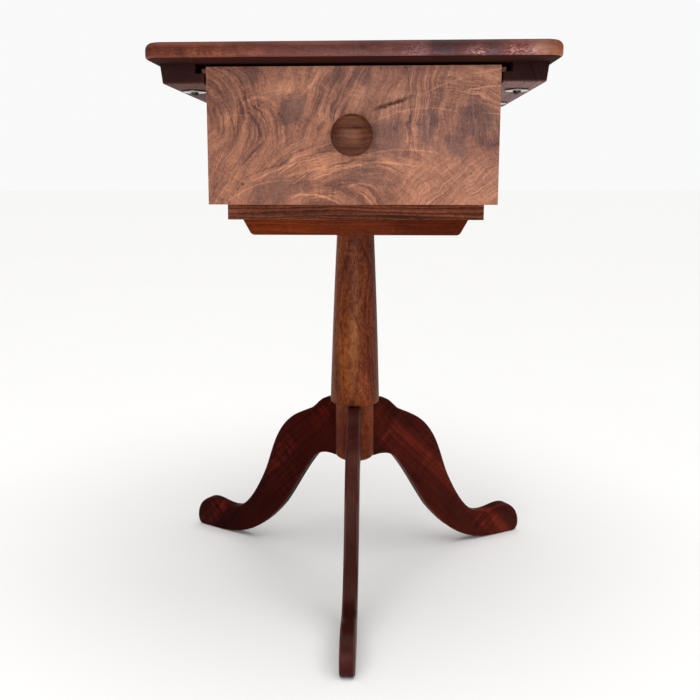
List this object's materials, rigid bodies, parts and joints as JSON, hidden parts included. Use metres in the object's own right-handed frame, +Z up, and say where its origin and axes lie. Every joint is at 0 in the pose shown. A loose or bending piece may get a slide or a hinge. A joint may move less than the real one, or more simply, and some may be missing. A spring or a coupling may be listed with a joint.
{
  "type": "tripod sewing table",
  "caption": "Small rectangular-topped tripod table on a turned column, with opposed underslung drawers that hang from runners under the top.",
  "frame": {"origin": "on the floor, at the middle of the table's bounding box", "axes": "+Z up from the floor to the top, -Y towards someone facing the front drawer, +X to that person's right"},
  "size_m": [0.492, 0.484, 0.67],
  "materials": {
    "top_wood": "satin oil, dark reddish walnut",
    "runner_wood": "satin, very dark stained hardwood",
    "face_wood": "satin oil, figured crotch walnut",
    "box_wood": "plain pale secondary wood",
    "board_wood": "satin oil, walnut",
    "column_wood": "satin oil, walnut",
    "leg_wood": "satin oil, very dark red wood",
    "knob_wood": "satin oil, dark walnut",
    "washer_steel": "bright zinc",
    "screw_steel": "darkened steel"
  },
  "bodies": {
    "stand": {"tabletop": "top_wood", "left_runner": "runner_wood", "right_runner": "runner_wood", "runner_washer_left_front": "washer_steel", "runner_washer_left_rear": "washer_steel", "runner_washer_right_front": "washer_steel", "runner_washer_right_rear": "washer_steel", "runner_screw_left_front": "screw_steel", "runner_screw_left_rear": "screw_steel", "runner_screw_right_front": "screw_steel", "runner_screw_right_rear": "screw_steel", "partition": "box_wood", "front_cleat": "box_wood", "rear_cleat": "box_wood", "cleat_screw_front_left": "screw_steel", "cleat_screw_front_right": "screw_steel", "cleat_screw_rear_left": "screw_steel", "cleat_screw_rear_right": "screw_steel", "support_board": "board_wood", "bearer": "board_wood", "bearer_screw_1": "screw_steel", "bearer_screw_2": "screw_steel", "bearer_screw_3": "screw_steel", "bearer_screw_4": "screw_steel", "column": "column_wood", "front_leg": "leg_wood", "left_leg": "leg_wood", "right_leg": "leg_wood"},
    "front_drawer": {"front_drawer_face": "face_wood", "front_drawer_left_side": "box_wood", "front_drawer_right_side": "box_wood", "front_drawer_back": "box_wood", "front_drawer_bottom": "box_wood", "front_drawer_left_strip": "box_wood", "front_drawer_right_strip": "box_wood", "front_drawer_knob": "knob_wood"},
    "rear_drawer": {"rear_drawer_face": "face_wood", "rear_drawer_left_side": "box_wood", "rear_drawer_right_side": "box_wood", "rear_drawer_back": "box_wood", "rear_drawer_bottom": "box_wood", "rear_drawer_left_strip": "box_wood", "rear_drawer_right_strip": "box_wood", "rear_drawer_knob": "knob_wood"}
  },
  "joints": [
    {"name": "front_drawer_slide", "type": "slide", "parent": "stand", "child": "front_drawer", "axis": [0, -1, 0], "range_m": [0, 0.1]},
    {"name": "rear_drawer_slide", "type": "slide", "parent": "stand", "child": "rear_drawer", "axis": [0, 1, 0], "range_m": [0, 0.1]}
  ]
}
